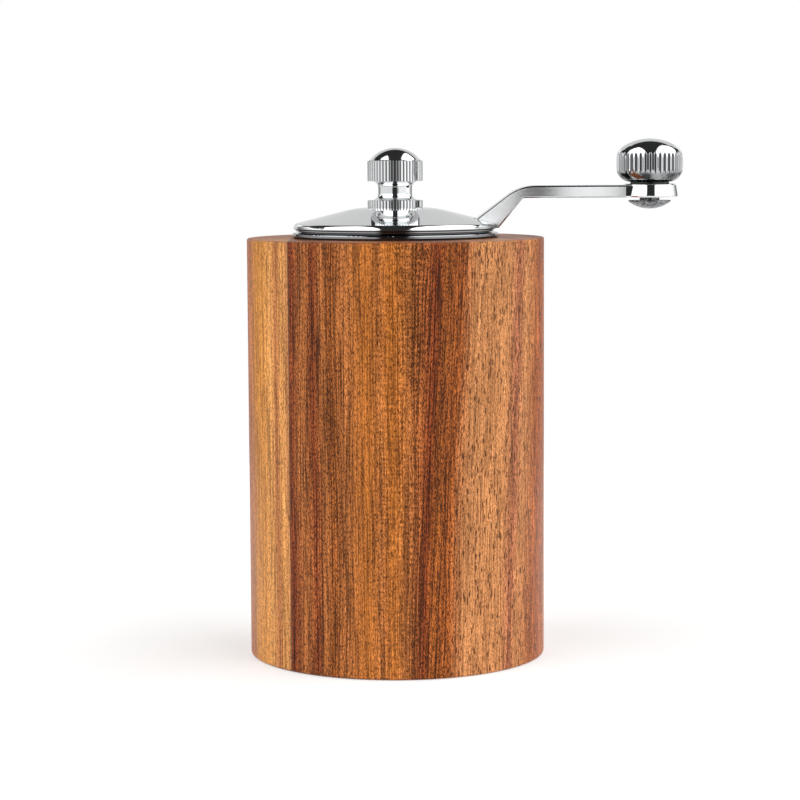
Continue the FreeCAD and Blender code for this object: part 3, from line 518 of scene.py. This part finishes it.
# Bright chrome on fluted bar: the same mirror, with painted shade: dark grey along each flute, and in
# patches low down towards the washer.
FLUTES = 42
GRIP_X = 51.3               # mm from the spindle to the grip's axis
GRIP_MIDDLE = 99.3          # mm above the foot, middle of the flutes
FLUTE_DARK = 1.5            # mm up and down from there, where the dark starts to fade
FLUTE_SHADE_END = 2.1           # mm, where it has gone
FOOT_SHADE_FULL = 97              # mm above the foot, where the painted shade near the washer is full
FOOT_SHADE_GONE = 98
fluted_bright, tree, shader = start_material("bright_chrome_on_fluted_bar")
place = add(tree, "TexCoord")
mm = add(tree, "Mapping", {"Vector": place.outputs["Object"], "Scale": (1000, 1000, 1000),
                           "Location": (-GRIP_X, 0, 0)})
along = add(tree, "SeparateXYZ", {0: mm})
bearing = add(tree, "Math", {0: along.outputs["Y"], 1: along.outputs["X"]}, operation="ARCTAN2")
counted = add(tree, "Math", {0: bearing, 1: FLUTES / math.tau}, operation="MULTIPLY")
off_flute = add(tree, "Math", {0: counted, 1: 0.5}, operation="PINGPONG")
in_flute = add(tree, "MapRange", {0: off_flute, 1: 0.1, 2: 0.36, 3: 1, 4: 0},
               interpolation_type="SMOOTHSTEP")
from_middle = add(tree, "Math", {0: along.outputs["Z"], 1: GRIP_MIDDLE}, operation="SUBTRACT")
away = add(tree, "Math", {0: from_middle}, operation="ABSOLUTE")
deep = add(tree, "MapRange", {0: away, 1: FLUTE_DARK, 2: FLUTE_SHADE_END, 3: 0.95, 4: 0},
           interpolation_type="SMOOTHSTEP")
# painted shade: dark grey in the flutes, and in patches low down near the washer
painted_flute_shade = add(tree, "Math", {0: in_flute, 1: deep}, operation="MULTIPLY")
low = add(tree, "MapRange", {0: along.outputs["Z"], 1: FOOT_SHADE_FULL, 2: FOOT_SHADE_GONE, 3: 1, 4: 0})
foot_shade_noise = add(tree, "TexNoise", {"Vector": place.outputs["Object"], "Scale": 350, "Detail": 3})
foot_shade_patches = add(tree, "MapRange", {0: foot_shade_noise, 1: 0.42, 2: 0.58, 3: 0.6, 4: 1})
painted_foot_shade = add(tree, "Math", {0: low, 1: foot_shade_patches}, operation="MULTIPLY")
dullness_and_painted_grip_shade = add(tree, "Math", {0: painted_flute_shade, 1: painted_foot_shade}, operation="MAXIMUM")
tone = add(tree, "Mix", {0: dullness_and_painted_grip_shade, 6: linear(CHROME), 7: linear("3C3D3F")}, data_type="RGBA")
mark = add(tree, "TexNoise", {"Vector": mm, "Scale": 0.3, "Detail": 4, "Roughness": 0.6})
clean = add(tree, "MapRange", {0: mark, 1: 0.35, 2: 0.75, 3: 0.04, 4: 0.1})
peel = add(tree, "TexNoise", {"Vector": mm, "Scale": 0.9, "Detail": 1})
ripple = add(tree, "Bump", {"Strength": 0.3, "Distance": 0.00001, "Height": peel})
finish_shader(tree, shader, {
    "Base Color": tone.outputs[2], "Metallic": 1.0, "Roughness": clean, "Normal": ripple})
cover(fluted_bright, "crank_grip")

# Cold-headed steel left as struck: dark and mottled, because its face was never polished.
struck, tree, shader = start_material("cold_headed_steel")
place = add(tree, "TexCoord")
mottle = add(tree, "TexNoise", {
    "Vector": place.outputs["Object"], "Scale": 1500, "Detail": 3, "Roughness": 0.7})
patch = add(tree, "MapRange", {0: mottle, 1: 0.38, 2: 0.62})
tone = add(tree, "Mix", {0: patch, 6: linear("303133"), 7: linear("96979A")}, data_type="RGBA")
pitted = add(tree, "Bump", {"Strength": 0.7, "Distance": 0.00012, "Height": mottle})
finish_shader(tree, shader, {
    "Base Color": tone.outputs[2], "Metallic": 1.0, "Roughness": 0.3, "Normal": pitted})
cover(struck, "grip_stud")


# ---- floor -------------------------------------------------------------------------------
# A round of white paper under the grinder. It is lit from below like a light table, so it
# runs into the white background and keeps only a trace of shadow.
FLOOR_R = 0.30              # m
RIM_POINTS = 96
PAPER_DROP = 0.0001         # m below the foot, so that the two never share a plane
floor_mesh = bpy.data.meshes.new("studio_floor")
angles = [i * math.tau / RIM_POINTS for i in range(RIM_POINTS)]
rim = [(FLOOR_R * math.cos(a), FLOOR_R * math.sin(a), 0) for a in angles]
floor_mesh.from_pydata(rim, [], [range(RIM_POINTS)])
floor = bpy.data.objects.new("studio_floor", floor_mesh)
floor.location.z = -PAPER_DROP
bpy.context.scene.collection.objects.link(floor)
paper, tree, shader = start_material("white_paper")
place = add(tree, "TexCoord")
fibre = add(tree, "TexNoise", {"Vector": place.outputs["Object"], "Scale": 900, "Detail": 3})
tone = add(tree, "Mix", {0: fibre, 6: linear("C2C2C2"), 7: linear("C6C6C5")}, data_type="RGBA")
finish_shader(tree, shader, {
    "Base Color": tone.outputs[2], "Roughness": 0.9, "Emission Color": (1, 1, 1, 1),
    "Emission Strength": 0.4})
floor_mesh.materials.append(paper)


# ---- light -------------------------------------------------------------------------------
# A round studio wall of soft light: a tall white card on each side of the camera, and dark
# between them and overhead. Low down the cards curve round to a white backdrop with a wing on
# each side, behind the grinder. The camera itself sees plain white.
CARD_LEFT = 0.9             # brightness near the horizon
CARD_RIGHT = 1.1
CARD_HIGH = 2.8             # brightness of both cards higher up
BACKDROP = 0.68             # brightness
WING = 1.2
ROOM = 0.03                 # brightness of the dark
world = bpy.data.worlds.new("studio")
bpy.context.scene.world = world
world.use_nodes = True
tree = world.node_tree
tree.nodes.clear()
way = add(tree, "TexCoord")
toward = add(tree, "SeparateXYZ", {0: way.outputs["Generated"]})
front = add(tree, "Math", {0: toward.outputs["Y"], 1: -1}, operation="MULTIPLY")
rise = add(tree, "Math", {0: toward.outputs["Z"]}, operation="ABSOLUTE")
aside = add(tree, "Math", {0: toward.outputs["X"]}, operation="ABSOLUTE")
turn = add(tree, "Math", {0: rise, 1: front}, operation="ARCTAN2")
over = add(tree, "Math", {0: turn, 1: 180 / math.pi}, operation="MULTIPLY")
bearing = add(tree, "Math", {0: toward.outputs["X"], 1: front}, operation="ARCTAN2")
around = add(tree, "Math", {0: bearing, 1: 180 / math.pi}, operation="MULTIPLY")

# the gap for the camera: sharp higher up, and with a soft right side near the horizon
high_gap = add(tree, "MapRange", {0: aside, 1: 0.25, 2: 0.32}, interpolation_type="SMOOTHSTEP")
right_gap = add(tree, "MapRange", {0: around, 1: 9, 2: 32}, interpolation_type="SMOOTHSTEP")
left_gap = add(tree, "MapRange", {0: around, 1: -14, 2: -24}, interpolation_type="SMOOTHSTEP")
low_gap = add(tree, "Math", {0: right_gap, 1: left_gap}, operation="MAXIMUM")
raised = add(tree, "MapRange", {0: rise, 1: 0.08, 2: 0.25}, interpolation_type="SMOOTHSTEP")
off_gap = add(tree, "Mix", {0: raised, 2: low_gap, 3: high_gap}, data_type="FLOAT")

# the cards end overhead, and low down they curve round to the backdrop
card_top = add(tree, "MapRange", {0: toward.outputs["X"], 1: -0.2, 2: 0.2, 3: 107, 4: 130})
below_top = add(tree, "Math", {0: card_top, 1: over}, operation="SUBTRACT")
card_edge = add(tree, "MapRange", {0: below_top, 1: -3, 2: 4}, interpolation_type="SMOOTHSTEP")
swing = add(tree, "Math", {0: around}, operation="ABSOLUTE")
fade = add(tree, "MapRange", {0: swing, 1: 100, 2: 150, 3: 1, 4: 0.06}, interpolation_type="SMOOTHSTEP")
high = add(tree, "MapRange", {0: rise, 1: 0.15, 2: 0.4}, interpolation_type="SMOOTHSTEP")
reach = add(tree, "Math", {0: fade, 1: high}, operation="MAXIMUM")
low_side = add(tree, "MapRange", {0: rise, 1: 0.15, 2: 0.4, 3: 1, 4: 0}, interpolation_type="SMOOTHSTEP")
wrapped = add(tree, "Math", {0: card_edge, 1: low_side}, operation="MAXIMUM")
card = add(tree, "Math", {0: off_gap, 1: wrapped}, operation="MULTIPLY")
cards = add(tree, "Math", {0: card, 1: reach}, operation="MULTIPLY")
low_level = add(tree, "MapRange", {0: toward.outputs["X"], 1: -0.2, 2: 0.2, 3: CARD_LEFT, 4: CARD_RIGHT})
climb = add(tree, "MapRange", {0: toward.outputs["Z"], 1: 0.02, 2: 0.5}, interpolation_type="SMOOTHSTEP")
level = add(tree, "Mix", {0: climb, 2: low_level, 3: CARD_HIGH}, data_type="FLOAT")
card_light = add(tree, "Math", {0: cards, 1: level, 2: ROOM}, operation="MULTIPLY_ADD")

# the backdrop, and a wing on each side of it
behind = add(tree, "MapRange", {0: over, 1: 139, 2: 143}, interpolation_type="SMOOTHSTEP")
middle = add(tree, "MapRange", {0: aside, 1: 0.5, 2: 0.54, 3: 1, 4: 0}, interpolation_type="SMOOTHSTEP")
backdrop = add(tree, "Math", {0: behind, 1: middle}, operation="MULTIPLY")
wing = add(tree, "MapRange", {0: aside, 1: 0.68, 2: 0.74}, interpolation_type="SMOOTHSTEP")
wings = add(tree, "Math", {0: behind, 1: wing}, operation="MULTIPLY")
high_wings = add(tree, "Math", {0: wings, 1: high}, operation="MULTIPLY")
back_light = add(tree, "Math", {0: backdrop, 1: BACKDROP, 2: card_light}, operation="MULTIPLY_ADD")
all_light = add(tree, "Math", {0: high_wings, 1: WING, 2: back_light}, operation="MULTIPLY_ADD")
seen = add(tree, "LightPath")
strength = add(tree, "Mix", {0: seen.outputs["Is Camera Ray"], 2: all_light, 3: 1.0}, data_type="FLOAT")
sky = add(tree, "Background", {"Color": (1, 1, 1, 1), "Strength": strength})
add(tree, "OutputWorld", {"Surface": sky})


# ---- camera ------------------------------------------------------------------------------
# A long lens at the height of the grip, tilted down a little, so that the body's top hardly
# shows. It stands a little to the right of the spindle.
SENSOR = 36                 # mm
LENS = 108                  # mm
STAND = (0.0033, -0.486, 0.1014)    # m
TILT = 5.87                 # degrees down from level
TWIST = 0.30                # degrees, swivel to the left and the same roll back
camera_data = bpy.data.cameras.new("camera")
camera_data.sensor_width = SENSOR
camera_data.lens = LENS
camera = bpy.data.objects.new("camera", camera_data)
bpy.context.scene.collection.objects.link(camera)
swivel = Matrix.Rotation(math.radians(TWIST), 4, "Z")
tip = Matrix.Rotation(math.radians(90 - TILT), 4, "X")
roll = Matrix.Rotation(math.radians(-TWIST), 4, "Z")
camera.matrix_world = Matrix.Translation(STAND) @ swivel @ tip @ roll
bpy.context.scene.camera = camera
bpy.context.scene.view_settings.view_transform = "Standard"
